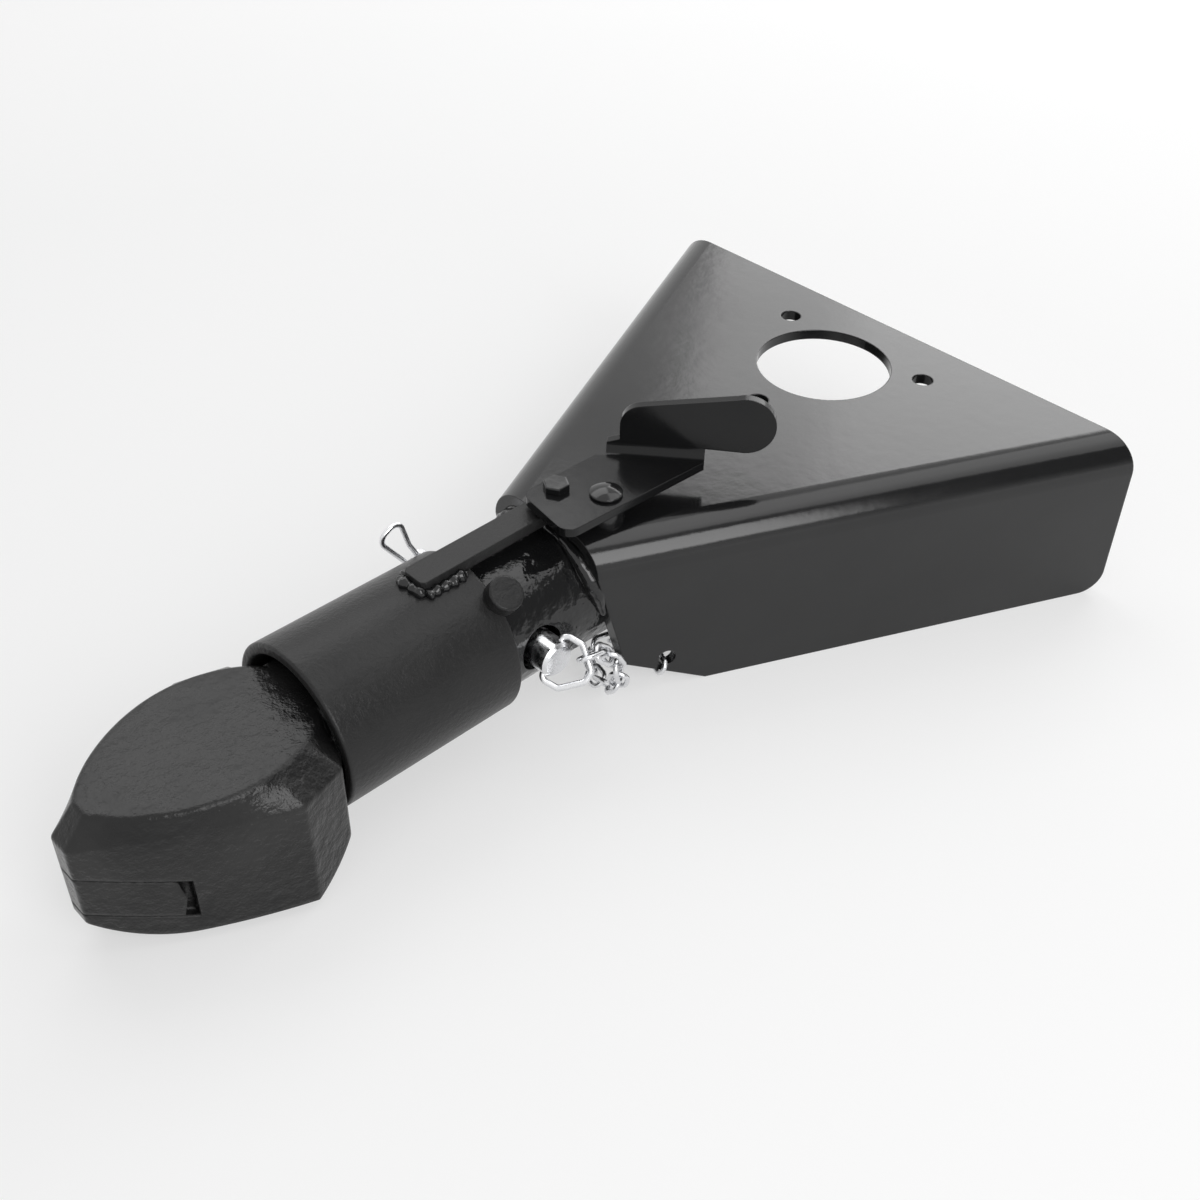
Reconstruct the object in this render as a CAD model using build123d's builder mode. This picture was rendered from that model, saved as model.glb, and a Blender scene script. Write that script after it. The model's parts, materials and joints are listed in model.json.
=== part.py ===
from build123d import *
import math
import os

# A-frame trailer coupler with a sliding locking sleeve.
# Millimetres. Origin at the ball centre, +X towards the nose, +Y to the left, +Z up.

# Ball housing
ball_diameter = 58.74
ball_clearance = 0.6
head_top_z = 40.0
bevel_height = 11.0
head_bottom_z = -23.0
head_wall = 5.5
nose_x = 67.5
nose_half_width = 5.0
shoulder_x = -6.0
shoulder_half_width = 44.0
side_bow = 3.0
heel_x = -27.0
heel_half_width = 38.0
head_rear_x = -33.0
head_rear_half_width = 24.0
crown_nose_x = 57.0
crown_nose_half_width = 4.0
crown_bow = 21.0
crown_shoulder_share = 0.72
crown_heel_share = 0.87
heel_round = 30.0
chin_run = 33.5
chin_rise = 13.4
head_edge_round = 2.2

# Nose hinge
hinge_x = 44.0
hinge_z = -2.0
journal_diameter = 13.0
hinge_clearance = 0.05
hinge_eye_wall = 4.5
hinge_eye_width = 16.0
hinge_side_gap = 0.6
key_height = 17.8
key_gap = 0.6
key_tail = 5.9
key_point = 1.8
key_tilt = 15.5
pocket_run = 5.0
pocket_depth = 4.0

# Lower jaw
jaw_gap = 4.0
jaw_rim_z = -3.0
ball_neck_gap = 44.0
tail_inner_y = 20.0
tail_outer_y = 28.5
tail_top_z = 15.0
tail_overlap = 5.0
tail_ramp = 3.4
tail_play = 0.5
jaw_front_x = 34.0
jaw_swing_room = 7.0
jaw_nose_rise = 13.0
jaw_nose_run = 26.0

# Channel
plate_top_z = 56.0
plate_thickness = 5.0
skirt_height = 84.0
bend_radius = 16.0
frame_half_angle = 25.0
frame_rear_x = -395.5
frame_front_x = -162.0
frame_front_half_width = 32.6
skirt_corner_radius = 11.0
taper_length = 35.0
taper_height = 18.0
skirt_lean = 12.0
jack_x = -343.0
jack_hole_diameter = 64.6
jack_bolt_circle = 95.25
jack_bolt_hole = 10.0

# Tube and sleeve
tube_diameter = 62.0
tube_wall = 4.5
tube_seat_gap = 0.1
tube_rear_x = -250.0
tube_front_x = -58.0
shank_length = 52.0
neck_step = 0.5
sleeve_clearance = 0.35
sleeve_wall = 5.15
sleeve_front_x = -31.0
sleeve_length = 85.5
sleeve_lip = 1.4

# Link bar and striker lug
bar_width = 12.7
bar_thickness = 5.0
bar_front_x = -92.0
bar_eye_diameter = 19.0
lug_diameter = 15.0
lug_height = 6.5
lug_angle = 36.5
lug_overhang = 2.0

# Lever
lever_gap = 2.5
lever_thickness = 4.0
lever_front_x = -149.5
lever_front_skew = 5.0
lever_far_y = -6.5
lever_near_y = 26.5
lever_rear_flare = 2.8
lever_corner = 6.0
lever_bend_radius = 4.0
fold_far_x = -196.6
fold_angle = 50.0
pivot_x = -180.0
pivot_y = 17.6
pivot_post_diameter = 16.0
pivot_pin_diameter = 9.5
pivot_clearance = 0.05
pivot_play = 0.3
pivot_head_diameter = 14.0
pivot_head_height = 3.0
grip_foot = 4.5
grip_step = 5.5
grip_far_height = 21.6
grip_far_round = 10.0
grip_end_radius = 13.2
grip_end_rise = 16.7
grip_overhang = 16.1

# Link bolt
link_x = -167.5
link_y = 0.8
link_bolt_diameter = 6.0
link_head_flats = 10.0
link_head_height = 3.2
link_lift = 0.3
link_slot_room = 0.7

# Safety pin, ring and clip
pin_setback = 15.5
pin_diameter = 9.5
pin_head_diameter = 16.0
pin_head_y = 27.0
pin_near_y = 41.0
pin_far_y = -52.0
pin_hole_gap = 2.5
pin_running_gap = 0.35
ring_wire = 2.8
ring_reach = 17.0
ring_rise = 2.6
ring_corner = 3.0
ring_tip = 2.6
ring_socket = 4.0
ring_hole_gap = 0.2
ring_inset = 4.0
ring_lean = 40.0
ring_swing = 30.0
clip_wire = 2.4
clip_setback = 4.0
clip_hole_gap = 0.35
clip_lean = 27.0
clip_tip = 5.5
clip_leg = 14.0
clip_height = 30.0
clip_loop = 13.0
clip_loop_round = 4.5
clip_bend = 4.0
clip_bow = 6.0
clip_gap = 0.35

# Chain
chain_wire = 2.2
chain_inner_length = 9.6
chain_inner_width = 5.2
chain_slack = 0.6
chain_hole_diameter = 8.0
chain_hole_run = 15.0
chain_hole_edge = 3.0

os.makedirs("parts", exist_ok=True)


def save(part, name):
    """Labels a finished piece and writes its file."""
    part.label = name
    export_step(part, f"parts/{name}.step")


# Values that follow from the sizes above
ball_radius = ball_diameter / 2
socket_radius = ball_radius + ball_clearance
tube_radius = tube_diameter / 2
plug_radius = tube_radius - tube_wall
neck_radius = plug_radius + neck_step
tube_z = plate_top_z - plate_thickness - tube_radius - tube_seat_gap
sleeve_bore_radius = tube_radius + sleeve_clearance
sleeve_radius = sleeve_bore_radius + sleeve_wall
sleeve_rear_x = sleeve_front_x - sleeve_length
skirt_bottom_z = plate_top_z - skirt_height
bar_bottom_z = tube_z + sleeve_radius
bar_top_z = bar_bottom_z + bar_thickness
lever_bottom_z = bar_top_z + lever_gap
lever_top_z = lever_bottom_z + lever_thickness
pin_x = sleeve_rear_x - pin_setback
pin_z = tube_z
bevel_z = head_top_z - bevel_height
eye_radius = journal_diameter / 2 + hinge_clearance + hinge_eye_wall
hinge_room = hinge_eye_width / 2 + hinge_side_gap
eye_room = eye_radius + hinge_side_gap
reach = 2 * skirt_height


def frame_half(x):
    """Half the outer width of the channel at x."""
    return frame_front_half_width + (frame_front_x - x) * math.tan(math.radians(frame_half_angle))


def channel_form(inset, bend, past):
    """The channel's plan, a wedge drawn in by the plate's thickness where inset is not zero."""
    side = inset / math.cos(math.radians(frame_half_angle))
    rear, front = frame_rear_x - past, frame_front_x + past
    with BuildPart() as form:
        with BuildSketch(Plane.XY.offset(skirt_bottom_z - past)):
            with BuildLine():
                Polyline(
                    (rear, frame_half(rear) - side),
                    (front, frame_half(front) - side),
                    (front, side - frame_half(front)),
                    (rear, side - frame_half(rear)),
                    close=True,
                )
            make_face()
        extrude(amount=skirt_height - inset + past)
        top = form.faces().sort_by(Axis.Z)[-1]
        fillet([e for e in top.edges() if abs((e % 0.5).Y) < 0.99], bend)
    return form.part


# Hole near the sloping edge of the channel's side for the chain
skirt_out = Vector(math.sin(math.radians(frame_half_angle)), math.cos(math.radians(frame_half_angle)))
skirt_on = Vector(skirt_out.Y, -skirt_out.X)
taper_x = frame_front_x - skirt_lean - taper_length
taper_z = skirt_bottom_z + taper_height
taper_slope = math.atan2(taper_height, taper_length / math.cos(math.radians(frame_half_angle)))
edge_down = skirt_on * math.sin(taper_slope) - Vector(0, 0, math.cos(taper_slope))
chain_edge_x = frame_front_x - skirt_lean - chain_hole_run
chain_edge_z = taper_z - chain_hole_run * taper_height / taper_length
chain_edge = Vector(chain_edge_x, frame_half(chain_edge_x), chain_edge_z)

# Folded channel with the jack hole
with BuildPart() as frame_channel:
    add(channel_form(0, bend_radius, 0))
    add(channel_form(plate_thickness, bend_radius - plate_thickness, 5), mode=Mode.SUBTRACT)
    with BuildSketch(Plane.XZ):
        with BuildLine():
            Polyline(
                (frame_front_x + 1, plate_top_z + 1),
                (frame_front_x, plate_top_z - bend_radius),
                (frame_front_x - skirt_lean, taper_z),
                (taper_x, skirt_bottom_z),
                (taper_x, skirt_bottom_z - 1),
                (frame_front_x + reach, skirt_bottom_z - 1),
                (frame_front_x + reach, plate_top_z + 1),
                close=True,
            )
        make_face()
        with BuildLine():
            corner = (frame_rear_x, skirt_bottom_z)
            Polyline(
                (corner[0] + skirt_corner_radius, corner[1]),
                corner,
                (corner[0], corner[1] + skirt_corner_radius),
            )
            RadiusArc(
                (corner[0], corner[1] + skirt_corner_radius),
                (corner[0] + skirt_corner_radius, corner[1]),
                -skirt_corner_radius,
            )
        make_face()
    extrude(amount=frame_half(frame_rear_x) + 1, both=True, mode=Mode.SUBTRACT)
    with Locations((jack_x, 0, plate_top_z)):
        Hole(jack_hole_diameter / 2, depth=plate_thickness + 1)
        with PolarLocations(jack_bolt_circle / 2, 3):
            Hole(jack_bolt_hole / 2, depth=plate_thickness + 1)
    with Locations((pivot_x, pivot_y, plate_top_z)):
        Hole(pivot_post_diameter / 2, depth=2 * bend_radius)
    with BuildSketch(Plane.YZ.offset(tube_rear_x)):
        with Locations((0, tube_z)):
            Circle(tube_radius)
    extrude(amount=-tube_rear_x, mode=Mode.SUBTRACT)
    chain_hole = chain_edge - edge_down * (chain_hole_edge + chain_hole_diameter / 2)
    with BuildSketch(Plane(chain_hole, x_dir=skirt_on, z_dir=skirt_out)):
        Circle(chain_hole_diameter / 2)
    extrude(amount=-2 * plate_thickness, mode=Mode.SUBTRACT)
save(frame_channel.part, "frame_channel")

# Tube under the channel, with the cross hole for the safety pin
with BuildPart() as shank_tube:
    with BuildSketch(Plane.YZ.offset(tube_rear_x)):
        with Locations((0, tube_z)):
            Circle(tube_radius)
            Circle(plug_radius, mode=Mode.SUBTRACT)
    extrude(amount=tube_front_x - tube_rear_x)
    with Locations(Plane.XZ.offset(-tube_radius - 1)):
        with Locations((pin_x, pin_z)):
            Hole(pin_head_diameter / 2 + pin_hole_gap, depth=tube_radius)
            Hole(pin_diameter / 2 + pin_running_gap, depth=tube_diameter + 2)
save(shank_tube.part, "shank_tube")


def head_outline(z):
    """Plan of the housing at its widest, on a plane at height z."""
    mid = Vector((nose_x + shoulder_x) / 2, (nose_half_width + shoulder_half_width) / 2)
    along = Vector(shoulder_x - nose_x, shoulder_half_width - nose_half_width).normalized()
    bulge = mid + Vector(along.Y, -along.X) * side_bow
    with BuildSketch(Plane.XY.offset(z)) as outline:
        with BuildLine():
            Line((nose_x, -nose_half_width), (nose_x, nose_half_width))
            ThreePointArc(
                (nose_x, nose_half_width),
                (bulge.X, bulge.Y),
                (shoulder_x, shoulder_half_width),
            )
            Polyline(
                (shoulder_x, shoulder_half_width),
                (heel_x, heel_half_width),
                (head_rear_x, head_rear_half_width),
                (head_rear_x, -head_rear_half_width),
                (heel_x, -heel_half_width),
                (shoulder_x, -shoulder_half_width),
            )
            ThreePointArc(
                (shoulder_x, -shoulder_half_width),
                (bulge.X, -bulge.Y),
                (nose_x, -nose_half_width),
            )
        make_face()
    return outline.sketch


def crown_outline(z):
    """Leaf-shaped outline of the flat top: one arc a side, parted where the plan below has corners."""
    start = Vector(crown_nose_x, crown_nose_half_width)
    end = Vector(head_rear_x, math.sqrt(neck_radius**2 - (z - tube_z) ** 2))
    along = (end - start).normalized()
    bulge = (start + end) / 2 + Vector(along.Y, -along.X) * crown_bow
    leaf = Edge.make_three_point_arc(start, bulge, end)
    parts = (0, crown_shoulder_share, crown_heel_share, 1)
    near = [(leaf @ a, leaf @ ((a + b) / 2), leaf @ b) for a, b in zip(parts, parts[1:])]
    with BuildSketch(Plane.XY.offset(z)) as outline:
        with BuildLine():
            Line((start.X, -start.Y), (start.X, start.Y))
            Line((end.X, end.Y), (end.X, -end.Y))
            for side in (1, -1):
                for arc in near:
                    ThreePointArc(*[(point.X, side * point.Y) for point in arc])
        make_face()
    return outline.sketch


def cavity_outline(z, inset, front):
    """Plan of the hollow under the housing, drawn in from its sides and cut off at the front."""
    with BuildSketch(Plane.XY.offset(z)) as outline:
        add(head_outline(0))
        offset(amount=-inset, kind=Kind.INTERSECTION, mode=Mode.REPLACE)
        with Locations((front, 0)):
            Rectangle(reach, reach, align=(Align.MIN, Align.CENTER), mode=Mode.SUBTRACT)
    return outline.sketch


def key_section(gap, tail, point):
    """Side view of the flat hinge key: a bar from past the nose to a blunt pointed tail."""
    half = key_height / 2 + gap
    tilt = math.radians(key_tilt)
    lean = half * math.tan(tilt)
    side = Plane((hinge_x, 0, hinge_z), x_dir=(math.cos(tilt), 0, math.sin(tilt)), z_dir=(0, -1, 0))
    with BuildSketch(side) as section:
        with BuildLine():
            Polyline(
                (reach, -half),
                (reach, half),
                (lean - tail, half),
                (-tail - point, 0),
                (-lean - tail, -half),
                close=True,
            )
        make_face()
    return section.sketch


# Outer form of the housing: hull, bevelled crown, rounded heel and chin
heel_top_z = head_bottom_z + heel_round
with BuildPart() as housing:
    extrude(head_outline(head_bottom_z), amount=bevel_z - head_bottom_z)
    loft([head_outline(bevel_z).face(), crown_outline(head_top_z).face()], ruled=True)
    with BuildSketch(Plane.XZ):
        with BuildLine():
            Polyline(
                (shoulder_x, head_bottom_z),
                (heel_x - heel_round, head_bottom_z),
                (heel_x - heel_round, heel_top_z),
                (head_rear_x, heel_top_z),
            )
            RadiusArc((head_rear_x, heel_top_z), (shoulder_x, head_bottom_z), -heel_round * 1.4)
        make_face()
        with BuildLine():
            Polyline(
                (nose_x, head_bottom_z + chin_rise),
                (nose_x + 1, head_bottom_z + chin_rise),
                (nose_x + 1, head_bottom_z - 1),
                (nose_x - chin_run, head_bottom_z - 1),
                (nose_x - chin_run, head_bottom_z),
            )
            RadiusArc(
                (nose_x - chin_run, head_bottom_z),
                (nose_x, head_bottom_z + chin_rise),
                -(chin_run**2 + chin_rise**2) / (2 * chin_rise),
            )
        make_face()
    extrude(amount=shoulder_half_width + 1, both=True, mode=Mode.SUBTRACT)
    upper_edges = [e for e in housing.edges() if e.center().Z > 0 and e.center().X > head_rear_x + 1]
    fillet(upper_edges, head_edge_round)

# Blind pocket behind the key on each side of the housing
with BuildPart() as key_pocket:
    extrude(key_section(key_gap, key_tail + pocket_run, 0.1), amount=reach, both=True)
    extrude(
        cavity_outline(head_bottom_z - 1, pocket_depth, nose_x),
        amount=reach,
        mode=Mode.SUBTRACT,
    )

# Ball housing with its neck and shank, in one casting
with BuildPart() as head_casting:
    add(housing.part)
    Sphere(socket_radius, mode=Mode.SUBTRACT)
    extrude(
        cavity_outline(head_bottom_z - 1, head_wall, jaw_front_x + jaw_swing_room),
        amount=jaw_rim_z - head_bottom_z + 3,
        mode=Mode.SUBTRACT,
    )
    with BuildSketch(Plane.XZ):
        with Locations((hinge_x, hinge_z)):
            Circle(eye_room)
        with Locations((hinge_x + eye_room, hinge_z + journal_diameter / 2 + hinge_side_gap)):
            Rectangle(hinge_x + eye_radius - socket_radius / 2, reach, align=(Align.MAX, Align.MAX))
    extrude(amount=hinge_room, both=True, mode=Mode.SUBTRACT)
    extrude(
        key_section(key_gap, key_tail + key_gap, key_point),
        amount=reach,
        both=True,
        mode=Mode.SUBTRACT,
    )
    add(key_pocket.part, mode=Mode.SUBTRACT)
    with Locations((head_rear_x - 1, 0, tail_top_z + 1)):
        Box(
            1 - head_rear_x,
            2 * (tail_outer_y + tail_play),
            reach,
            align=(Align.MIN, Align.CENTER, Align.MAX),
            mode=Mode.SUBTRACT,
        )
    with BuildSketch(Plane.YZ.offset(tube_front_x)):
        with Locations((0, tube_z)):
            Circle(neck_radius)
        with Locations((0, head_top_z)):
            Rectangle(reach, reach, align=(Align.CENTER, Align.MIN), mode=Mode.SUBTRACT)
        for side in (1, -1):
            with Locations((side * (tail_inner_y - tail_play), tail_top_z + 1)):
                Rectangle(
                    reach,
                    reach,
                    align=(Align.MIN if side > 0 else Align.MAX, Align.MAX),
                    mode=Mode.SUBTRACT,
                )
    extrude(amount=head_rear_x - tube_front_x)
    with BuildSketch(Plane.YZ.offset(tube_front_x)):
        with Locations((0, tube_z)):
            Circle(plug_radius)
    extrude(amount=-shank_length)
save(head_casting.part, "head_casting")

# Flat key across the nose slot, with the round journal that the jaw hangs on
with BuildPart() as hinge_key:
    extrude(key_section(0, key_tail, key_point), amount=reach, both=True)
    add(housing.part, mode=Mode.INTERSECT)
    with BuildSketch(Plane.XZ):
        with Locations((hinge_x, hinge_z)):
            Circle(eye_room)
    extrude(amount=hinge_room, both=True, mode=Mode.SUBTRACT)
    with BuildSketch(Plane.XZ):
        with Locations((hinge_x, hinge_z)):
            Circle(journal_diameter / 2)
    extrude(amount=hinge_room, both=True)
save(hinge_key.part, "hinge_key")

# Horseshoe jaw under the ball, with two tails that the sleeve holds up
tail_rear_x = sleeve_front_x - tail_overlap
with BuildPart() as bore_limit:
    with Locations((sleeve_front_x, 0, tube_z)):
        Box(tail_overlap + 1, reach, reach, align=(Align.MAX, Align.CENTER, Align.CENTER))
    with BuildSketch(Plane.YZ.offset(sleeve_front_x)):
        with Locations((0, tube_z)):
            Circle(sleeve_bore_radius - tail_play)
    extrude(
        amount=2 * tail_overlap * math.hypot(1, tail_ramp),
        dir=(-1, 0, tail_ramp),
        mode=Mode.SUBTRACT,
    )
with BuildPart() as lower_jaw:
    extrude(
        cavity_outline(head_bottom_z, head_wall + jaw_gap, jaw_front_x),
        amount=jaw_rim_z - head_bottom_z,
    )
    for side in (1, -1):
        with Locations((0, side * tail_outer_y, head_bottom_z)):
            Box(
                reach,
                reach,
                reach,
                align=(Align.MAX, Align.MIN if side > 0 else Align.MAX, Align.MIN),
                mode=Mode.SUBTRACT,
            )
    with BuildSketch(Plane.XZ):
        with BuildLine():
            Polyline(
                (0, head_bottom_z),
                (shoulder_x, head_bottom_z),
                (sleeve_front_x + tail_play, tube_z - tail_outer_y),
                (tail_rear_x, tube_z - tail_outer_y),
                (tail_rear_x, tail_top_z),
                (2 * shoulder_x, tail_top_z),
                (0, jaw_rim_z),
                close=True,
            )
        make_face()
    extrude(amount=tail_outer_y, both=True)
    with BuildSketch(Plane.XZ):
        with BuildLine():
            Polyline(
                (jaw_front_x + 1, head_bottom_z + jaw_nose_rise),
                (jaw_front_x + 1, head_bottom_z - 1),
                (jaw_front_x - jaw_nose_run, head_bottom_z - 1),
                close=True,
            )
        make_face()
    extrude(amount=reach, both=True, mode=Mode.SUBTRACT)
    with BuildSketch(Plane.XZ):
        with Locations((hinge_x, hinge_z)):
            Circle(eye_radius)
            Rectangle(hinge_x - socket_radius / 2, journal_diameter, align=(Align.MAX, Align.CENTER))
    extrude(amount=hinge_eye_width / 2, both=True)
    Sphere(socket_radius, mode=Mode.SUBTRACT)
    with BuildSketch(Plane.XY.offset(head_bottom_z - 1)):
        Circle(ball_neck_gap / 2)
        Rectangle(reach, ball_neck_gap, align=(Align.MAX, Align.CENTER))
    extrude(amount=jaw_rim_z - head_bottom_z + 1, mode=Mode.SUBTRACT)
    with Locations((0, 0, jaw_rim_z)):
        Box(
            reach,
            2 * tail_inner_y,
            reach,
            align=(Align.MAX, Align.CENTER, Align.CENTER),
            mode=Mode.SUBTRACT,
        )
    with BuildSketch(Plane.XZ):
        with Locations((hinge_x, hinge_z)):
            Circle(journal_diameter / 2 + hinge_clearance)
    extrude(amount=reach, both=True, mode=Mode.SUBTRACT)
    add(bore_limit.part, mode=Mode.SUBTRACT)
save(lower_jaw.part, "lower_jaw")

# Sliding sleeve with rolled lips
with BuildPart() as locking_sleeve:
    with BuildSketch(Plane.YZ.offset(sleeve_rear_x)):
        with Locations((0, tube_z)):
            Circle(sleeve_radius)
            Circle(sleeve_bore_radius, mode=Mode.SUBTRACT)
    extrude(amount=sleeve_length)
    fillet(locking_sleeve.edges().filter_by(GeomType.CIRCLE), sleeve_lip)
save(locking_sleeve.part, "locking_sleeve")

# Flat bar welded along the top of the sleeve, with a cross slot in its eye for the link bolt
link_arm = Vector(link_x - pivot_x, link_y - pivot_y)
link_drift = link_arm.length - abs(link_arm.Y)
eye_y = link_y - link_drift / 2
with BuildPart() as link_bar:
    with BuildSketch(Plane.XY.offset(bar_bottom_z)):
        with BuildLine():
            Polyline(
                (bar_front_x, bar_width / 2),
                (link_x, eye_y + bar_width / 2),
                (link_x, eye_y - bar_width / 2),
                (bar_front_x, -bar_width / 2),
                close=True,
            )
        make_face()
        with Locations((link_x, eye_y)):
            Circle(bar_eye_diameter / 2)
            SlotCenterToCenter(
                link_drift,
                link_bolt_diameter + 2 * link_slot_room,
                rotation=90,
                mode=Mode.SUBTRACT,
            )
    extrude(amount=bar_thickness)
    chamfer(link_bar.faces().sort_by(Axis.X)[-1].edges().filter_by(Axis.Z), bar_width / 8)
save(link_bar.part, "link_bar")

# Round striker stub welded on the rear edge of the sleeve
lug_lean = math.radians(lug_angle)
lug_plane = Plane(
    (sleeve_rear_x - lug_overhang, 0, tube_z),
    x_dir=(1, 0, 0),
    z_dir=(0, math.sin(lug_lean), math.cos(lug_lean)),
)
with BuildPart() as striker_lug:
    with BuildSketch(lug_plane.offset(sleeve_radius + lug_height)):
        Circle(lug_diameter / 2)
    extrude(amount=-2 * lug_height)
    lug_end = striker_lug.faces().sort_by(Axis(lug_plane.origin, lug_plane.z_dir))[-1]
    fillet(lug_end.edges(), lug_height / 6)
    with BuildSketch(Plane.YZ.offset(sleeve_rear_x - lug_diameter)):
        with Locations((0, tube_z)):
            Circle(sleeve_radius)
    extrude(amount=2 * lug_diameter, mode=Mode.SUBTRACT)
save(striker_lug.part, "striker_lug")

# Folded lever: flat plate, bend and upright grip
fold_turn = math.radians(180 - fold_angle)
fold_along = Vector(math.cos(fold_turn), math.sin(fold_turn))
fold_away = Vector(-fold_along.Y, fold_along.X)
fold_length = (lever_near_y + lever_rear_flare - lever_far_y) / math.sin(fold_turn)
fold_start = Vector(fold_far_x, lever_far_y, lever_bottom_z)
fold_end = fold_start + fold_along * fold_length
with BuildPart() as lever_handle:
    with BuildSketch(Plane.XY.offset(lever_bottom_z)):
        with BuildLine():
            Polyline(
                (fold_start.X, fold_start.Y),
                (lever_front_x - lever_front_skew, lever_far_y),
                (lever_front_x, lever_near_y),
                (fold_end.X, fold_end.Y),
                close=True,
            )
        plate = make_face()
        fillet(plate.vertices().sort_by(Axis.X)[-2:], lever_corner)
        with Locations((pivot_x, pivot_y)):
            Circle(pivot_pin_diameter / 2 + pivot_clearance, mode=Mode.SUBTRACT)
        with Locations((link_x, link_y)):
            Circle(link_bolt_diameter / 2, mode=Mode.SUBTRACT)
    extrude(amount=lever_thickness)
    inner, outer = lever_bend_radius, lever_bend_radius + lever_thickness
    with BuildSketch(Plane(fold_start + fold_along * grip_foot, x_dir=fold_away, z_dir=fold_along)):
        with BuildLine():
            RadiusArc((0, 0), (outer, outer), -outer)
            Line((outer, outer), (inner, outer))
            RadiusArc((inner, outer), (0, lever_thickness), inner)
            Line((0, lever_thickness), (0, 0))
        make_face()
    extrude(amount=fold_length - grip_foot)
    grip_origin = fold_start + fold_away * outer + Vector(0, 0, outer)
    with BuildSketch(Plane(grip_origin, x_dir=fold_along, z_dir=-fold_away)):
        side_s = grip_foot + grip_step
        end_s = fold_length + grip_overhang
        end_h = grip_end_rise - inner
        with BuildLine():
            Polyline(
                (grip_foot, 0),
                (side_s, grip_step / 3),
                (side_s, grip_far_height - inner),
                (end_s, end_h + grip_end_radius),
                (end_s, end_h - grip_end_radius),
                (fold_length, 0),
                close=True,
            )
        grip = make_face()
        far_top = grip.vertices().sort_by_distance((side_s, grip_far_height - inner))[0]
        fillet(far_top, grip_far_round)
        with Locations((end_s, end_h)):
            Circle(grip_end_radius)
    extrude(amount=lever_thickness)
save(lever_handle.part, "lever_handle")

# Pivot stud with a peened head, plugged into the plate
with BuildPart() as pivot_stud:
    with BuildSketch(Plane((pivot_x, pivot_y, 0), x_dir=(1, 0, 0), z_dir=(0, -1, 0))):
        with BuildLine():
            seat = lever_bottom_z - pivot_play
            cap = lever_top_z + pivot_play
            dome_rise = pivot_head_height * 2 / 3
            Polyline(
                (0, cap + pivot_head_height),
                (0, plate_top_z - plate_thickness),
                (pivot_post_diameter / 2, plate_top_z - plate_thickness),
                (pivot_post_diameter / 2, seat),
                (pivot_pin_diameter / 2, seat),
                (pivot_pin_diameter / 2, cap),
                (pivot_head_diameter / 2, cap),
                (pivot_head_diameter / 2, cap + pivot_head_height - dome_rise),
            )
            RadiusArc(
                (pivot_head_diameter / 2, cap + pivot_head_height - dome_rise),
                (0, cap + pivot_head_height),
                -((pivot_head_diameter / 2) ** 2 + dome_rise**2) / (2 * dome_rise),
            )
        make_face()
    revolve(axis=Axis((pivot_x, pivot_y, 0), (0, 0, 1)))
save(pivot_stud.part, "pivot_stud")

# Link bolt fixed in the lever, with its shank in the slot of the bar
link_end_z = bar_bottom_z + link_lift
with BuildPart() as link_bolt:
    with BuildSketch(Plane.XY.offset(link_end_z)):
        with Locations((link_x, link_y)):
            Circle(link_bolt_diameter / 2)
    extrude(amount=lever_top_z - link_end_z)
    with BuildSketch(Plane.XY.offset(lever_top_z)):
        with Locations((link_x, link_y)):
            RegularPolygon(link_head_flats / 2, 6, major_radius=False)
    extrude(amount=link_head_height)
    chamfer(link_bolt.faces().sort_by(Axis.Z)[-1].edges(), link_head_height / 8)
save(link_bolt.part, "link_bolt")

# Safety pin across the tube, behind the sleeve
clip_y = pin_far_y + clip_setback
clip_turn = math.radians(clip_lean)
clip_up = Vector(math.sin(clip_turn), 0, math.cos(clip_turn))
clip_side = Vector(math.cos(clip_turn), 0, -math.sin(clip_turn))
clip_plane = Plane((pin_x, clip_y, pin_z), x_dir=clip_side, z_dir=(0, -1, 0))
ring_y = pin_near_y - ring_inset
ring_turn = math.radians(ring_lean)
ring_axis = Vector(-math.sin(ring_turn), 0, math.cos(ring_turn))
ring_away = Vector(-math.cos(ring_turn), 0, -math.sin(ring_turn))
swing = math.radians(ring_swing)
ring_out = Vector(0, math.cos(swing)) + ring_away * math.sin(swing)
ring_plane = Plane((pin_x, ring_y, pin_z), x_dir=ring_out, z_dir=ring_out.cross(ring_axis))
with BuildPart() as safety_pin:
    with BuildSketch(Plane.XZ.offset(-pin_near_y)):
        with Locations((pin_x, pin_z)):
            Circle(pin_head_diameter / 2)
    extrude(amount=pin_near_y - pin_head_y)
    with BuildSketch(Plane.XZ.offset(-pin_head_y)):
        with Locations((pin_x, pin_z)):
            Circle(pin_diameter / 2)
    extrude(amount=pin_head_y - pin_far_y)
    chamfer(safety_pin.faces().sort_by(Axis.Y)[-1].edges(), pin_head_diameter / 12)
    chamfer(safety_pin.faces().sort_by(Axis.Y)[0].edges(), pin_diameter / 8)
    with BuildSketch(Plane((pin_x, ring_y, pin_z), x_dir=(0, 1, 0), z_dir=ring_axis)):
        Circle(ring_wire / 2 + ring_hole_gap)
    extrude(amount=pin_head_diameter, both=True, mode=Mode.SUBTRACT)
    with BuildSketch(Plane((pin_x, clip_y, pin_z), x_dir=clip_side, z_dir=clip_up)):
        Circle(clip_wire / 2 + clip_hole_gap)
    extrude(amount=pin_diameter, both=True, mode=Mode.SUBTRACT)
save(safety_pin.part, "safety_pin")

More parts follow.
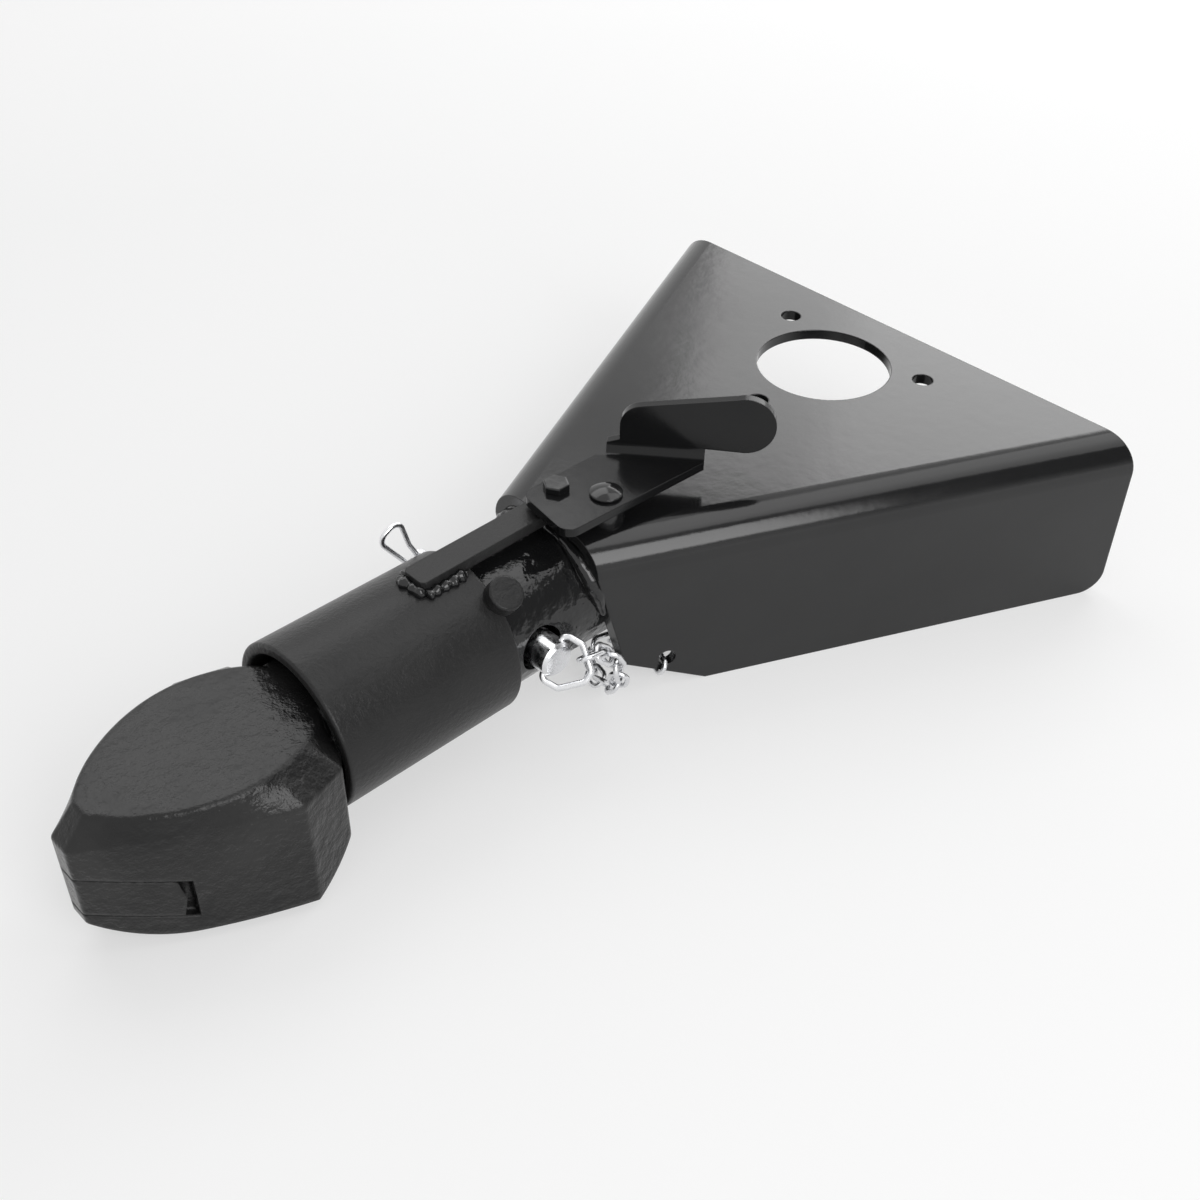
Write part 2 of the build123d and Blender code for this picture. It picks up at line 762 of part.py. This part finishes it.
# Wire bail in the head of the pin, swung out as a pull
ring_half = pin_head_diameter / 2 + ring_rise
ring_shoulder = ring_reach / 2
with BuildPart() as pin_ring:
    with BuildLine(ring_plane) as bail:
        FilletPolyline(
            (0, pin_head_diameter / 2 - ring_socket),
            (0, ring_half),
            (ring_shoulder, ring_half),
            (ring_reach, ring_tip),
            (ring_reach, -ring_tip),
            (ring_shoulder, -ring_half),
            (0, -ring_half),
            (0, ring_socket - pin_head_diameter / 2),
            radius=ring_corner,
        )
    with BuildSketch(Plane(bail.line @ 0, z_dir=bail.line % 0)):
        Circle(ring_wire / 2)
    sweep(path=bail.line)
save(pin_ring.part, "pin_ring")

# Spring clip through the far end of the pin
clip_run = pin_diameter / 2 + clip_gap + clip_wire / 2
with BuildPart() as hairpin_clip:
    with BuildLine(clip_plane) as wire:
        FilletPolyline(
            (0, -clip_tip),
            (0, clip_leg),
            (-clip_loop / 4, clip_height),
            (clip_loop * 3 / 4, clip_height),
            (clip_run, pin_diameter),
            (clip_run, -clip_tip / 2),
            (clip_run + clip_wire, -1.5 * clip_tip),
            radius=(clip_bend, clip_loop_round, clip_loop_round, clip_bow, clip_bend),
        )
    with BuildSketch(Plane(wire.line @ 0, z_dir=wire.line % 0)):
        Circle(clip_wire / 2)
    sweep(path=wire.line)
save(hairpin_clip.part, "hairpin_clip")

# Chain of oval wire links from the bail to the hole in the side of the channel
pitch = chain_inner_length - chain_slack
ring_leg = Vector(ring_reach - ring_shoulder, ring_tip - ring_half).normalized()
leg_mid = Vector((ring_reach + ring_shoulder) / 2, (ring_half + ring_tip) / 2)
ring_mid = ring_plane.from_local_coords(leg_mid)
leg_on = ring_plane.from_local_coords(ring_leg) - ring_plane.origin
first_on = Vector(0, 1, 0).cross(leg_on).normalized()
first_at = ring_mid + first_on * (chain_inner_length / 2 - ring_wire / 2 - chain_slack)
wall_mid = chain_edge - edge_down * chain_hole_edge / 2
last_at = wall_mid + skirt_out * (chain_slack - chain_inner_length / 2)
# The loop that the chain hangs in, in link pitches from the hole's edge
chain_loop = (
    (3.06, 0.2, 1.41),
    (2.78, -0.74, 0.25),
    (2.55, -1.91, -0.2),
    (2.0, -2.97, -0.25),
    (1.0, -3.58, -0.25),
    (-0.05, -3.25, -0.2),
    (-0.69, -2.36, -0.03),
)
with BuildLine() as chain_route:
    Spline(
        first_at - first_on * pitch / 2,
        first_at + first_on * pitch / 2,
        first_at + Vector(-1.46, 0.05, -1.25) * pitch,
        *[chain_edge + Vector(*place) * pitch for place in chain_loop],
        last_at - skirt_out * pitch / 2,
        last_at + skirt_out * pitch / 2,
    )
route = chain_route.edge()
steps = math.ceil(route.length / pitch)
link_end = (chain_inner_width + chain_wire) / 2
link_side = (chain_inner_length + chain_wire) / 2 - link_end
with BuildPart() as chain_link:
    with BuildLine() as oval:
        Line((-link_side, -link_end), (link_side, -link_end))
        CenterArc((link_side, 0), link_end, -90, 180)
        Line((link_side, link_end), (-link_side, link_end))
        CenterArc((-link_side, 0), link_end, 90, 180)
    with BuildSketch(Plane(oval.line @ 0, z_dir=oval.line % 0)):
        Circle(chain_wire / 2)
    sweep(path=oval.line)
joints = [
    route.position_at(i * route.length / steps, position_mode=PositionMode.LENGTH)
    for i in range(steps + 1)
]
link_places = []
across = leg_on
for start, end in zip(joints, joints[1:]):
    on = (end - start).normalized()
    across = (across - on * across.dot(on)).normalized()
    link_places.append(Plane((start + end) / 2, x_dir=on, z_dir=across))
edge_on = skirt_on * math.cos(taper_slope) + Vector(0, 0, math.sin(taper_slope))
last = link_places[-1]
twist = math.degrees(math.atan2(last.y_dir.dot(edge_on), last.z_dir.dot(edge_on))) - 90 * (steps - 1)
twist = (twist + 90) % 180 - 90
with BuildPart() as tether_chain:
    for i, place in enumerate(link_places):
        turn = math.radians(90 * i + twist * i / (steps - 1))
        facing = place.z_dir * math.cos(turn) + place.y_dir * math.sin(turn)
        add(chain_link.part.moved(Plane(place.origin, x_dir=place.x_dir, z_dir=facing).location))
save(tether_chain.part, "tether_chain")
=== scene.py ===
import json
import math

import bmesh
import bpy
from mathutils import Matrix, Vector, noise


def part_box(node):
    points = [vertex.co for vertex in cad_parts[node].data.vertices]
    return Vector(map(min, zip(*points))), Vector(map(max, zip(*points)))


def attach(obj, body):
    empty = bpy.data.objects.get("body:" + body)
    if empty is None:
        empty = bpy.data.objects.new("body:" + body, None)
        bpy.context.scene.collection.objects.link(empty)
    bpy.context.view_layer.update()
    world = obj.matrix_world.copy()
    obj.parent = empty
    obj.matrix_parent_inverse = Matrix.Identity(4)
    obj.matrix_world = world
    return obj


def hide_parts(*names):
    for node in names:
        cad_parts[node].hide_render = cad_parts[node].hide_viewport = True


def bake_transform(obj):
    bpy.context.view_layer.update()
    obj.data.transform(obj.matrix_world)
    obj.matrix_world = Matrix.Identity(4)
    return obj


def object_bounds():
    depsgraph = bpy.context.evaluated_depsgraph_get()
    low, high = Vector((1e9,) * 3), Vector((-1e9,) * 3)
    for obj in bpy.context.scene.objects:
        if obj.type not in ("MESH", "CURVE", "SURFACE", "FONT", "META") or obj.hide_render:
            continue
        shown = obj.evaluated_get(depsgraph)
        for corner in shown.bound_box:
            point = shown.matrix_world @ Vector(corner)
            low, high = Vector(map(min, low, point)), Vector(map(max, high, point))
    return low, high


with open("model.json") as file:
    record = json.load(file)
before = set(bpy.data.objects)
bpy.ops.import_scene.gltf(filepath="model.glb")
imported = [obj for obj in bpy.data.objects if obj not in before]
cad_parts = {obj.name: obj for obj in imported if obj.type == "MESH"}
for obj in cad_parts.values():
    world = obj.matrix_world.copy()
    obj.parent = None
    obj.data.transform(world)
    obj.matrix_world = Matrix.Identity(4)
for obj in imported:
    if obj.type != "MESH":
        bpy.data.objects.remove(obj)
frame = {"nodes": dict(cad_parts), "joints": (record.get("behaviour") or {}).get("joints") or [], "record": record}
cad_box = [list(corner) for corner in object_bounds()]
nodes = frame["nodes"]
scene = bpy.context.scene
scene.view_settings.view_transform = "Standard"

# A millimetre in metres
MM = 0.001

# Camera as solved from the photograph: a place in metres, angles in degrees and a lens in millimetres
CAMERA_PLACE = (0.1766, 0.3780, 0.4356)
CAMERA_AZIMUTH = -134.52
CAMERA_DIP = 39.97
CAMERA_ROLL = 1.23
CAMERA_LENS = 45.35
CAMERA_SENSOR = 36
CAMERA_NEAR = 0.01

# Dark and light tones of each finish
GLOSS = ((0.0065, 0.0066, 0.0070), (0.0125, 0.0126, 0.0130))
SATIN = ((0.0150, 0.0150, 0.0153), (0.0300, 0.0297, 0.0295))
CAST = ((0.0060, 0.0060, 0.0062), (0.0320, 0.0316, 0.0312))
ZINC = ((0.62, 0.63, 0.66), (0.86, 0.86, 0.86))

# Marks in the paint: scales in features a metre, spans of noise, and how far a mark goes to the light tone
NOISE_SPAN = (0.3, 0.7)
BLOTCH_SCALE = 28
BLOTCH_SHARE = 0.6
SPECK_SCALE = 260
SPECK_SPAN = (0.045, 0.09)
DUST_SCALE = 19
DUST_SPAN = (0.5, 0.62)
DUST_SHARE = 2.2
STREAK_SCALE = 7
STREAK_SPAN = (0.3, 0.72)

# Marks in the zinc plate
PLATE_TONE_SCALE = 210
PLATE_SHEEN_SCALE = 420
PLATE_GRAIN_SCALE = 900
PLATE_GRAIN_HEIGHT = 0.00012
PLATE_GRAIN_SHARE = 0.35
PLATE_ROUGH = (0.16, 0.36)

# Weld beads: sides of the section, rates of the ripples and of the lumps, and share of the radius at a tip
BEAD_SIDES = 14
BEAD_RIPPLE_RATE = 1.5
BEAD_LUMP_RATE = (0.33, 0.9, 1.7)
BEAD_TIP = 0.35

# Drawn chain: the shortest and longest pitch to try, and the least slope of a link's blend
CHAIN_PITCHES = (0.004, 0.03)
CHAIN_HALVINGS = 50
CHAIN_LEAST_SLOPE = 1e-4

# Floor: half its side, its gap under the object, its greys, and its glow from near to far
FLOOR_HALF = 6
FLOOR_GAP = 0.0001
FLOOR_GREY = (0.8, 0.8, 0.8)
FLOOR_SEEN_GREY = (0.45, 0.45, 0.45)
FLOOR_GLOW = (0.50, 0.87)
FLOOR_FADE = (0.6, 3.5)

# World: its light on the object, and the darker side that the gloss paint mirrors
WORLD_LIGHT = 0.30
DARK_SIDE = (-0.366, 0.785, 0.500)
DARK_SPAN = (0.78, 0.94)
DARK_LIGHT = 0.20

# Lamps: place, target and size in metres, and power in watts
PLATE_MIDDLE = (-0.3, 0, 0.056)
HEAD_MIDDLE = (0, 0, 0.04)
FOLD_MIDDLE = (-0.2, 0.07, 0.045)
LAMPS = {
    "back_softbox": ((-1.87, -0.54, 0.86), PLATE_MIDDLE, (1.40, 0.86), 7.3),
    "back_core": ((-1.87, -0.48, 0.86), PLATE_MIDDLE, (0.98, 0.86), 2.9),
    "side_softbox": ((-0.416, -0.893, 1.30), HEAD_MIDDLE, (1.20, 0.90), 5.6),
    "top_softbox": ((-0.84, 0.37, 1.37), FOLD_MIDDLE, (1.20, 1.00), 4.4),
    "front_softbox": ((0.10, 1.29, 0.86), FOLD_MIDDLE, (0.92, 0.97), 12.6),
}


def make_camera():
    azimuth = math.radians(CAMERA_AZIMUTH)
    dip = math.radians(CAMERA_DIP)
    roll = math.radians(CAMERA_ROLL)
    ahead = Vector((math.cos(dip) * math.cos(azimuth), math.cos(dip) * math.sin(azimuth), -math.sin(dip)))
    right = ahead.cross(Vector((0, 0, 1))).normalized()
    up = right.cross(ahead)
    c, s = math.cos(roll), math.sin(roll)
    right, up = c * right + s * up, c * up - s * right
    data = bpy.data.cameras.new("camera")
    data.sensor_width = CAMERA_SENSOR
    data.lens = CAMERA_LENS
    data.clip_start = CAMERA_NEAR
    camera = bpy.data.objects.new("camera", data)
    turn = Matrix((right, up, -ahead)).transposed().to_4x4()
    camera.matrix_world = Matrix.Translation(CAMERA_PLACE) @ turn
    scene.collection.objects.link(camera)
    scene.camera = camera


make_camera()


class Nodes:
    """A small helper that builds one material's or the world's node tree."""

    def __init__(self, owner):
        owner.use_nodes = True
        self.tree = owner.node_tree
        self.tree.nodes.clear()

    def add(self, kind, **settings):
        node = self.tree.nodes.new(kind)
        for key, value in settings.items():
            setattr(node, key, value)
        return node

    def link(self, start, end):
        self.tree.links.new(start, end)

    def noise(self, where, scale, detail=3.0, rough=0.55):
        node = self.add("ShaderNodeTexNoise")
        node.inputs["Scale"].default_value = scale
        node.inputs["Detail"].default_value = detail
        node.inputs["Roughness"].default_value = rough
        self.link(where, node.inputs["Vector"])
        return node.outputs["Fac"]

    def span(self, value, low, high, to_low, to_high):
        node = self.add("ShaderNodeMapRange")
        node.inputs["From Min"].default_value = low
        node.inputs["From Max"].default_value = high
        node.inputs["To Min"].default_value = to_low
        node.inputs["To Max"].default_value = to_high
        self.link(value, node.inputs["Value"])
        return node.outputs["Result"]

    def math(self, operation, a, b):
        node = self.add("ShaderNodeMath", operation=operation)
        for socket, value in zip(node.inputs, (a, b)):
            if isinstance(value, (int, float)):
                socket.default_value = value
            else:
                self.link(value, socket)
        return node.outputs["Value"]

    def colour_mix(self, factor, a, b):
        node = self.add("ShaderNodeMix", data_type="RGBA")
        self.link(factor, node.inputs["Factor"])
        node.inputs["A"].default_value = (*a, 1)
        node.inputs["B"].default_value = (*b, 1)
        return node.outputs["Result"]

    def bump(self, height, strength, distance, normal=None):
        node = self.add("ShaderNodeBump")
        node.inputs["Strength"].default_value = strength
        node.inputs["Distance"].default_value = distance
        self.link(height, node.inputs["Height"])
        if normal:
            self.link(normal, node.inputs["Normal"])
        return node.outputs["Normal"]


def paint(name, tones, rough, peel, grain, lumps, edge, specular=0.5):
    """Black paint: a range of roughness, peel, grain and lumps as (scale, height), and soft edges."""
    material = bpy.data.materials.new(name)
    n = Nodes(material)
    where = n.add("ShaderNodeTexCoord").outputs["Object"]
    soft = n.add("ShaderNodeBevel", samples=6)
    soft.inputs["Radius"].default_value = edge
    normal = soft.outputs["Normal"]
    for scale, height in (lumps, peel, grain):
        normal = n.bump(n.noise(where, scale), 1.0, height, normal)
    blotch = n.span(n.noise(where, BLOTCH_SCALE, 5), *NOISE_SPAN, 0.0, BLOTCH_SHARE)
    specks = n.add("ShaderNodeTexVoronoi")
    specks.inputs["Scale"].default_value = SPECK_SCALE
    n.link(where, specks.inputs["Vector"])
    dust = n.span(specks.outputs["Distance"], *SPECK_SPAN, 1.0, 0.0)
    dusty = n.span(n.noise(where, DUST_SCALE, 2), *DUST_SPAN, 0.0, 1.0)
    dust = n.math("MULTIPLY", n.math("MULTIPLY", dust, dusty), DUST_SHARE)
    shader = n.add("ShaderNodeBsdfPrincipled")
    n.link(n.colour_mix(n.math("ADD", blotch, dust), *tones), shader.inputs["Base Color"])
    streak = n.noise(where, STREAK_SCALE, 6, 0.62)
    n.link(n.span(streak, *STREAK_SPAN, *rough), shader.inputs["Roughness"])
    shader.inputs["Specular IOR Level"].default_value = specular
    n.link(normal, shader.inputs["Normal"])
    out = n.add("ShaderNodeOutputMaterial")
    n.link(shader.outputs["BSDF"], out.inputs["Surface"])
    return material


def zinc(name):
    """Bright zinc plate with a fine grain, small blotches and a slight blue tone."""
    material = bpy.data.materials.new(name)
    n = Nodes(material)
    where = n.add("ShaderNodeTexCoord").outputs["Object"]
    shader = n.add("ShaderNodeBsdfPrincipled")
    shader.inputs["Metallic"].default_value = 1.0
    tone = n.noise(where, PLATE_TONE_SCALE, 4)
    n.link(n.colour_mix(tone, *ZINC), shader.inputs["Base Color"])
    sheen = n.noise(where, PLATE_SHEEN_SCALE, 3)
    n.link(n.span(sheen, *NOISE_SPAN, *PLATE_ROUGH), shader.inputs["Roughness"])
    grain = n.noise(where, PLATE_GRAIN_SCALE, 2)
    n.link(n.bump(grain, PLATE_GRAIN_SHARE, PLATE_GRAIN_HEIGHT), shader.inputs["Normal"])
    out = n.add("ShaderNodeOutputMaterial")
    n.link(shader.outputs["BSDF"], out.inputs["Surface"])
    return material


looks = {
    "frame_paint": paint(
        "gloss_black", GLOSS, rough=(0.10, 0.19), edge=0.0008,
        peel=(160, 0.00005), grain=(900, 0.00001), lumps=(30, 0.0001),
    ),
    "head_paint": paint(
        "cast_black", CAST, rough=(0.16, 0.30), edge=0.0022, specular=0.32,
        peel=(230, 0.0006), grain=(950, 0.00016), lumps=(45, 0.0012),
    ),
    "sleeve_paint": paint(
        "satin_black", SATIN, rough=(0.28, 0.42), edge=0.0009, specular=0.24,
        peel=(420, 0.00025), grain=(1300, 0.00010), lumps=(40, 0.0001),
    ),
    "zinc": zinc("bright_zinc"),
}
lever_look = paint(
    "lever_black", GLOSS, rough=(0.12, 0.22), edge=0.0006, specular=0.26,
    peel=(160, 0.00005), grain=(900, 0.00002), lumps=(30, 0.0001),
)
tube_look = paint(
    "thick_black", GLOSS, rough=(0.06, 0.14), edge=0.0008,
    peel=(120, 0.0008), grain=(420, 0.00012), lumps=(55, 0.0012),
)
weld_look = paint(
    "weld_black", GLOSS, rough=(0.06, 0.14), edge=0.0006,
    peel=(220, 0.0001), grain=(700, 0.00003), lumps=(90, 0.0003),
)
for part in frame["record"]["subparts"]:
    node = nodes[part["node"]]
    node.data.materials.clear()
    node.data.materials.append(looks[part["material_slot"]])
nodes["shank_tube"].data.materials[0] = tube_look
nodes["lever_handle"].data.materials[0] = lever_look


def smooth_route(points, rings):
    """A smooth run of spots through points of (x, y, z, radius), with this many spots in 4 mm."""
    last = len(points) - 1
    spots = []
    for i in range(last):
        p0, p1, p2, p3 = (Vector(points[min(max(j, 0), last)]) for j in range(i - 1, i + 3))
        bend = 2 * p0 - 5 * p1 + 4 * p2 - p3
        twist = 3 * p1 - p0 - 3 * p2 + p3
        count = max(2, round((p2.xyz - p1.xyz).length * rings / 4))
        for k in range(count):
            t = k / count
            spots.append(0.5 * (2 * p1 + (p2 - p0) * t + bend * t * t + twist * t ** 3))
    spots.append(Vector(points[last]))
    return spots


def bead(name, body, slot, points, ripple, lump, seed, rings=4):
    """A weld bead: a lumpy closed tube through points of (x, y, z, radius) in millimetres."""
    spots = smooth_route(points, rings)
    last = len(spots) - 1
    mesh = bmesh.new()
    loops = []
    run = 0.0
    along, around, apart = BEAD_LUMP_RATE
    side = Vector((0, 0, 1))
    for i, spot in enumerate(spots):
        before = spots[max(i - 1, 0)].xyz
        after = spots[min(i + 1, last)].xyz
        on = (after - before).normalized()
        if abs(side.dot(on)) < 0.98:
            side = (side - on * side.dot(on)).normalized()
        else:
            side = on.orthogonal().normalized()
        other = on.cross(side)
        run += (spot.xyz - before).length
        end = min(1.0, min(i, last - i) / 2.0)
        taper = BEAD_TIP + (1 - BEAD_TIP) * math.sin(end * math.pi / 2)
        wave = 1 + ripple * math.sin(run * BEAD_RIPPLE_RATE + seed)
        loop = []
        for k in range(BEAD_SIDES):
            angle = 2 * math.pi * k / BEAD_SIDES
            out = side * math.cos(angle) + other * math.sin(angle)
            rough = noise.noise(Vector((run * along + seed, angle * around, seed * apart)))
            radius = spot.w * taper * wave * (1 + lump * rough)
            loop.append(mesh.verts.new((spot.xyz + out * radius) * MM))
        loops.append(loop)
    for near, far in zip(loops, loops[1:]):
        for k in range(BEAD_SIDES):
            after = (k + 1) % BEAD_SIDES
            mesh.faces.new((near[k], near[after], far[after], far[k]))
    for loop in (loops[0], loops[-1]):
        tip = mesh.verts.new(sum((v.co for v in loop), Vector()) / BEAD_SIDES)
        for k in range(BEAD_SIDES):
            mesh.faces.new((loop[k], loop[(k + 1) % BEAD_SIDES], tip))
    bmesh.ops.recalc_face_normals(mesh, faces=mesh.faces)
    data = bpy.data.meshes.new(name)
    mesh.to_mesh(data)
    mesh.free()
    obj = bpy.data.objects.new(name, data)
    scene.collection.objects.link(obj)
    smooth = obj.modifiers.new("smooth", "SUBSURF")
    smooth.levels = 1
    smooth.render_levels = 1
    data.materials.append(weld_look)
    for face in data.polygons:
        face.use_smooth = True
    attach(obj, body)


def tube_welds():
    """The seam where the tube enters the channel, over the top and down both sides."""
    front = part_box("frame_channel")[1].x / MM
    low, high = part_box("shank_tube")
    axis = (low.z + high.z) / 2 / MM
    # Run from the channel's front, place across, height over the tube's axis, and radius
    seam = (
        (0.4, 0, 31.3, 2.0),
        (0.6, 9, 30.3, 2.2),
        (0.8, 17, 27.5, 2.8),
        (0.6, 23, 23.5, 3.6),
        (-0.4, 27.4, 17.7, 4.2),
        (-1.8, 30.2, 11.1, 3.8),
        (-3.0, 31.4, 5.1, 2.4),
        (-4.4, 31.8, -0.9, 1.6),
    )
    for side, name in ((1, "tube_weld_left"), (-1, "tube_weld_right")):
        points = [(front + x, side * y, axis + z, r) for x, y, z, r in seam]
        bead(name, "coupler", "frame_paint", points, ripple=0.03, lump=0.12, seed=3.0 + side)


def bar_welds():
    """The seams of the bar on the sleeve, at the bar's front end and along both sides."""
    low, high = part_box("link_bar")
    front = high.x / MM
    foot = low.z / MM
    # Run from the bar's front, place across, height over its foot, and radius
    end_seam = (
        (0.4, -7.4, -0.5, 2.2),
        (1.2, -3.5, 0.3, 2.9),
        (1.0, 0.5, 0.4, 2.5),
        (0.6, 4.5, 0.2, 2.8),
        (-0.4, 7.4, -0.4, 2.2),
    )
    side_seam = (
        (-0.5, 7.6, -0.4, 2.3),
        (-6.0, 7.5, -0.3, 2.7),
        (-12.0, 7.6, -0.4, 2.4),
        (-17.0, 7.3, -0.2, 2.9),
        (-21.5, 7.4, -0.3, 2.0),
    )
    look = {"ripple": 0.16, "lump": 0.28, "rings": 7}
    points = [(front + x, y, foot + z, r) for x, y, z, r in end_seam]
    bead("bar_weld_front", "sleeve", "sleeve_paint", points, seed=1.3, **look)
    for side, name in ((1, "bar_weld_left"), (-1, "bar_weld_right")):
        points = [(front + x, side * y, foot + z, r) for x, y, z, r in side_seam]
        bead(name, "sleeve", "sleeve_paint", points, seed=6.1 * side, **look)


tube_welds()
bar_welds()


def chain_pieces():
    """The chain's links as meshes, in order from the bail, and their middles."""
    source = nodes["tether_chain"].data
    mesh = bmesh.new()
    mesh.from_mesh(source)
    bmesh.ops.remove_doubles(mesh, verts=mesh.verts, dist=1e-6)
    mesh.verts.index_update()
    mesh.faces.index_update()
    left, groups = set(mesh.verts), []
    while left:
        stack, group = [next(iter(left))], set()
        while stack:
            v = stack.pop()
            if v in group:
                continue
            group.add(v)
            stack += [e.other_vert(v) for e in v.link_edges]
        left -= group
        groups.append(group)
    links = []
    for group in groups:
        index = {v: i for i, v in enumerate(sorted(group, key=lambda v: v.index))}
        data = bpy.data.meshes.new("link")
        faces = sorted({f for v in group for f in v.link_faces}, key=lambda f: f.index)
        data.from_pydata([v.co for v in index], [], [[index[v] for v in f.verts] for f in faces])
        links.append(data)
    mesh.free()

    def middle(data):
        return sum((v.co for v in data.vertices), Vector()) / len(data.vertices)

    low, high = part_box("pin_ring")
    at = (low + high) / 2
    ordered = []
    while links:
        nearest = min(links, key=lambda data: (middle(data) - at).length)
        links.remove(nearest)
        ordered.append(nearest)
        at = middle(nearest)
    return ordered, [middle(data) for data in ordered]


def hang_chain():
    """Make each chain link its own object and work out each link's share of the pin's travel and its blend slope;
    no blend between the channel and the pin is applied, so the chain is not drawn out with the pin.
    """
    travel = next(joint["range_m"][1] for joint in frame["joints"] if joint["name"] == "pin_pull")
    links, centres = chain_pieces()
    joints = [(a + b) / 2 for a, b in zip(centres, centres[1:])]
    joints = [2 * centres[0] - joints[0]] + joints + [2 * centres[-1] - joints[-1]]

    def drawn(pitch):
        """Shares of the pin's travel at the joints if the drawn chain has this pitch."""
        shares = [1.0]
        for a, b in zip(joints, joints[1:]):
            flat = (b.x - a.x) ** 2 + (b.z - a.z) ** 2
            fall = math.sqrt(max(pitch ** 2 - flat, 0.0))
            shares.append(shares[-1] - (fall + b.y - a.y) / travel)
        return shares

    short, long = CHAIN_PITCHES
    for _ in range(CHAIN_HALVINGS):
        mid = (short + long) / 2
        short, long = (mid, long) if drawn(mid)[-1] > 0 else (short, mid)
    shares = [min(max(s, 0.0), 1.0) for s in drawn(long)]

    def eased(share):
        """Where along a blend its smooth step has this share."""
        return 0.5 - math.sin(math.asin(1 - 2 * share) / 3)

    for i, data in enumerate(links):
        obj = bpy.data.objects.new(f"chain_link_{i + 1:02d}", data)
        scene.collection.objects.link(obj)
        data.materials.append(looks["zinc"])
        for face in data.polygons:
            face.use_smooth = True
        a, b = joints[i], joints[i + 1]
        first, last = eased(shares[i]), eased(shares[i + 1])
        slope = (last - first) / (b - a).length
        slope = slope if abs(slope) > CHAIN_LEAST_SLOPE else -CHAIN_LEAST_SLOPE
        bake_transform(obj)
        if i == 0:
            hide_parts("tether_chain")


hang_chain()


def background_rays(n):
    """1 for the rays that see the background: camera, glossy and transmission rays."""
    rays = n.add("ShaderNodeLightPath")
    seen = n.math("MAXIMUM", rays.outputs["Is Camera Ray"], rays.outputs["Is Glossy Ray"])
    return n.math("MAXIMUM", seen, rays.outputs["Is Transmission Ray"])


def make_floor():
    """A pale floor that keeps the shadow and fades into the white background."""
    level = cad_box[0][2] - FLOOR_GAP
    corners = [(x * FLOOR_HALF, y * FLOOR_HALF, level) for x, y in ((-1, -1), (1, -1), (1, 1), (-1, 1))]
    data = bpy.data.meshes.new("floor")
    data.from_pydata(corners, [], [(0, 1, 2, 3)])
    floor = bpy.data.objects.new("floor", data)
    scene.collection.objects.link(floor)
    material = bpy.data.materials.new("floor_white")
    data.materials.append(material)
    n = Nodes(material)
    seen = background_rays(n)
    diffuse = n.add("ShaderNodeBsdfDiffuse")
    n.link(n.colour_mix(seen, FLOOR_GREY, FLOOR_SEEN_GREY), diffuse.inputs["Color"])
    glow = n.add("ShaderNodeEmission")
    away = n.add("ShaderNodeVectorMath", operation="LENGTH")
    n.link(n.add("ShaderNodeTexCoord").outputs["Object"], away.inputs[0])
    fade = n.span(away.outputs["Value"], *FLOOR_FADE, *FLOOR_GLOW)
    n.link(n.math("MULTIPLY", seen, fade), glow.inputs["Strength"])
    both = n.add("ShaderNodeAddShader")
    n.link(diffuse.outputs["BSDF"], both.inputs[0])
    n.link(glow.outputs["Emission"], both.inputs[1])
    out = n.add("ShaderNodeOutputMaterial")
    n.link(both.outputs["Shader"], out.inputs["Surface"])


def make_world():
    """White all round, with a darker side towards the camera for what the gloss paint mirrors."""
    world = bpy.data.worlds.new("studio")
    scene.world = world
    n = Nodes(world)
    where = n.add("ShaderNodeTexCoord").outputs["Generated"]
    facing = n.add("ShaderNodeVectorMath", operation="DOT_PRODUCT")
    n.link(where, facing.inputs[0])
    facing.inputs[1].default_value = DARK_SIDE
    mirrored = n.span(facing.outputs["Value"], *DARK_SPAN, 1.0, DARK_LIGHT)
    rays = n.add("ShaderNodeLightPath")
    seen = n.math("MAXIMUM", rays.outputs["Is Camera Ray"], rays.outputs["Is Transmission Ray"])
    plain = n.span(seen, 0, 1, WORLD_LIGHT, 1.0)
    shiny = n.math("MULTIPLY", rays.outputs["Is Glossy Ray"], n.math("SUBTRACT", mirrored, WORLD_LIGHT))
    shade = n.add("ShaderNodeBackground")
    shade.inputs["Color"].default_value = (1.0, 1.0, 1.0, 1.0)
    n.link(n.math("ADD", plain, shiny), shade.inputs["Strength"])
    out = n.add("ShaderNodeOutputWorld")
    n.link(shade.outputs["Background"], out.inputs["Surface"])


def softbox(name, place, target, size, power):
    data = bpy.data.lights.new(name, "AREA")
    data.shape = "RECTANGLE"
    data.size = size[0]
    data.size_y = size[1]
    data.energy = power
    lamp = bpy.data.objects.new(name, data)
    lamp.location = place
    lamp.rotation_euler = (Vector(target) - Vector(place)).to_track_quat("-Z", "Y").to_euler()
    scene.collection.objects.link(lamp)


make_floor()
make_world()
for lamp_name, settings in LAMPS.items():
    softbox(lamp_name, *settings)
